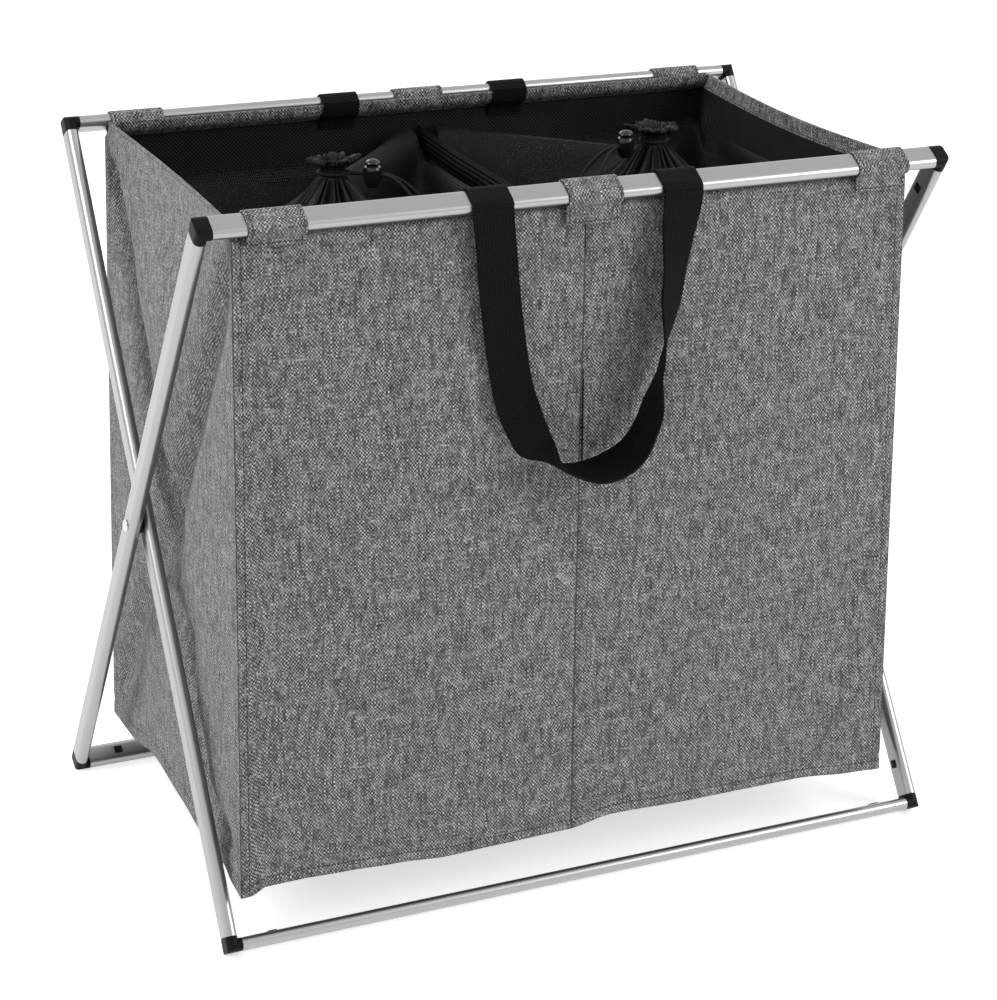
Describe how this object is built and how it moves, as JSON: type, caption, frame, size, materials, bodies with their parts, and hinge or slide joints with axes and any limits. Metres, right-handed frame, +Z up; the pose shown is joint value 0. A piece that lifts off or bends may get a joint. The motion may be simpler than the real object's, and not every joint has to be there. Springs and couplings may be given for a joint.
{
  "type": "laundry hamper with two bins",
  "caption": "Folding laundry hamper: a divided cloth bag with drawstring net covers and webbing handles hangs from a scissor frame of flat oval tube.",
  "frame": {"origin": "on the floor, under the middle of the standing hamper", "axes": "+X along the bars to the hamper's right, +Y from its front to its rear, +Z up"},
  "size_m": [0.635, 0.436, 0.5795],
  "materials": {
    "tube": "satin anodised, finely brushed along the tube",
    "corner": "moulded, matte black",
    "rivet": "bright, domed",
    "washer": "matte black",
    "cloth": "grey melange woven polyester",
    "lining": "thin black cloth and hook tape",
    "webbing": "black ribbed webbing",
    "net": "fine black mesh",
    "cord": "black braided cord",
    "lock": "polished black",
    "spring": "bright wire"
  },
  "bodies": {
    "frame_a": {"frame_a_top_bar": "tube", "frame_a_bottom_bar": "tube", "frame_a_left_leg": "tube", "frame_a_right_leg": "tube", "frame_a_top_left_corner": "corner", "frame_a_top_right_corner": "corner", "frame_a_bottom_left_corner": "corner", "frame_a_bottom_right_corner": "corner", "left_pivot_rivet": "rivet", "left_pivot_washer": "washer"},
    "frame_b": {"frame_b_top_bar": "tube", "frame_b_bottom_bar": "tube", "frame_b_left_leg": "tube", "frame_b_right_leg": "tube", "frame_b_top_left_corner": "corner", "frame_b_top_right_corner": "corner", "frame_b_bottom_left_corner": "corner", "frame_b_bottom_right_corner": "corner", "right_pivot_rivet": "rivet", "right_pivot_washer": "washer"},
    "front_cloth": {"front_panel_left": "cloth", "front_panel_right": "cloth", "left_side_panel": "cloth", "right_side_panel": "cloth", "bottom_panel": "cloth", "divider": "lining", "left_net_cover": "net", "right_net_cover": "net", "front_tab_left": "cloth", "front_tab_middle": "cloth", "front_tab_right": "cloth", "front_hook_strip_left": "lining", "front_hook_strip_middle": "lining", "front_hook_strip_right": "lining", "front_handle_end_left": "webbing", "front_handle_end_right": "webbing"},
    "rear_cloth": {"rear_panel_left": "cloth", "rear_panel_right": "cloth", "rear_tab_left": "cloth", "rear_tab_middle": "cloth", "rear_tab_right": "cloth", "rear_hook_strip_left": "lining", "rear_hook_strip_middle": "lining", "rear_hook_strip_right": "lining", "rear_handle_end_left": "webbing", "rear_handle_end_right": "webbing"},
    "front_handle": {"front_handle": "webbing"},
    "rear_handle": {"rear_handle": "webbing"},
    "left_gather": {"left_drawcord": "cord"},
    "right_gather": {"right_drawcord": "cord"},
    "left_lock": {"left_lock_body": "lock", "left_lock_spring": "spring", "left_drawcord_tail": "cord"},
    "right_lock": {"right_lock_body": "lock", "right_lock_spring": "spring", "right_drawcord_tail": "cord"},
    "left_plunger": {"left_lock_plunger": "lock"},
    "right_plunger": {"right_lock_plunger": "lock"}
  },
  "joints": [
    {"name": "fold", "type": "hinge", "parent": "frame_a", "child": "frame_b", "pos_m": [0, 0, 0.2887], "axis": [1, 0, 0], "range_deg": [0, 56], "deforming": ["left_side_panel", "right_side_panel", "bottom_panel", "divider", "left_net_cover", "right_net_cover", "left_drawcord_tail", "right_drawcord_tail", "front_tab_left", "front_tab_middle", "front_tab_right", "rear_tab_left", "rear_tab_middle", "rear_tab_right", "front_handle_end_left", "front_handle_end_right", "rear_handle_end_left", "rear_handle_end_right"]},
    {"name": "front_cloth_hang", "type": "hinge", "parent": "frame_a", "child": "front_cloth", "pos_m": [0, -0.1805, 0.5697], "axis": [1, 0, 0], "range_deg": [0, 28]},
    {"name": "rear_cloth_hang", "type": "hinge", "parent": "frame_b", "child": "rear_cloth", "pos_m": [0, 0.1805, 0.5697], "axis": [1, 0, 0], "range_deg": [-28, 0]},
    {"name": "left_gather_follow", "type": "slide", "parent": "front_cloth", "child": "left_gather", "axis": [0, -1, 0], "range_m": [0, 0.1913]},
    {"name": "right_gather_follow", "type": "slide", "parent": "front_cloth", "child": "right_gather", "axis": [0, -1, 0], "range_m": [0, 0.1998]},
    {"name": "front_handle_swing", "type": "hinge", "parent": "front_cloth", "child": "front_handle", "pos_m": [0, -0.1805, 0.5697], "axis": [1, 0, 0], "range_deg": [-170, 0], "deforming": ["front_handle_end_left", "front_handle_end_right"]},
    {"name": "rear_handle_swing", "type": "hinge", "parent": "rear_cloth", "child": "rear_handle", "pos_m": [0, 0.1805, 0.5697], "axis": [1, 0, 0], "range_deg": [0, 170], "deforming": ["rear_handle_end_left", "rear_handle_end_right"]},
    {"name": "left_lock_slide", "type": "slide", "parent": "left_gather", "child": "left_lock", "axis": [0.8192, -0.5736, 0], "range_m": [0, 0.012], "deforming": ["left_drawcord", "left_drawcord_tail"]},
    {"name": "right_lock_slide", "type": "slide", "parent": "right_gather", "child": "right_lock", "axis": [-0.9659, -0.2588, 0], "range_m": [0, 0.012], "deforming": ["right_drawcord", "right_drawcord_tail"]},
    {"name": "left_plunger_press", "type": "slide", "parent": "left_lock", "child": "left_plunger", "axis": [0, 0, -1], "range_m": [0, 0.0026], "stiffness_N_per_m": 300, "springref_m": -0.002, "deforming": ["left_lock_spring"]},
    {"name": "right_plunger_press", "type": "slide", "parent": "right_lock", "child": "right_plunger", "axis": [0, 0, -1], "range_m": [0, 0.0026], "stiffness_N_per_m": 300, "springref_m": -0.002, "deforming": ["right_lock_spring"]}
  ],
  "couplings": [
    {"joint": "front_cloth_hang", "follows": "fold", "ratio": 0.5},
    {"joint": "rear_cloth_hang", "follows": "fold", "ratio": -0.5},
    {"joint": "left_gather_follow", "follows": "fold", "m_per_rad": 0.1956},
    {"joint": "right_gather_follow", "follows": "fold", "m_per_rad": 0.2043}
  ]
}
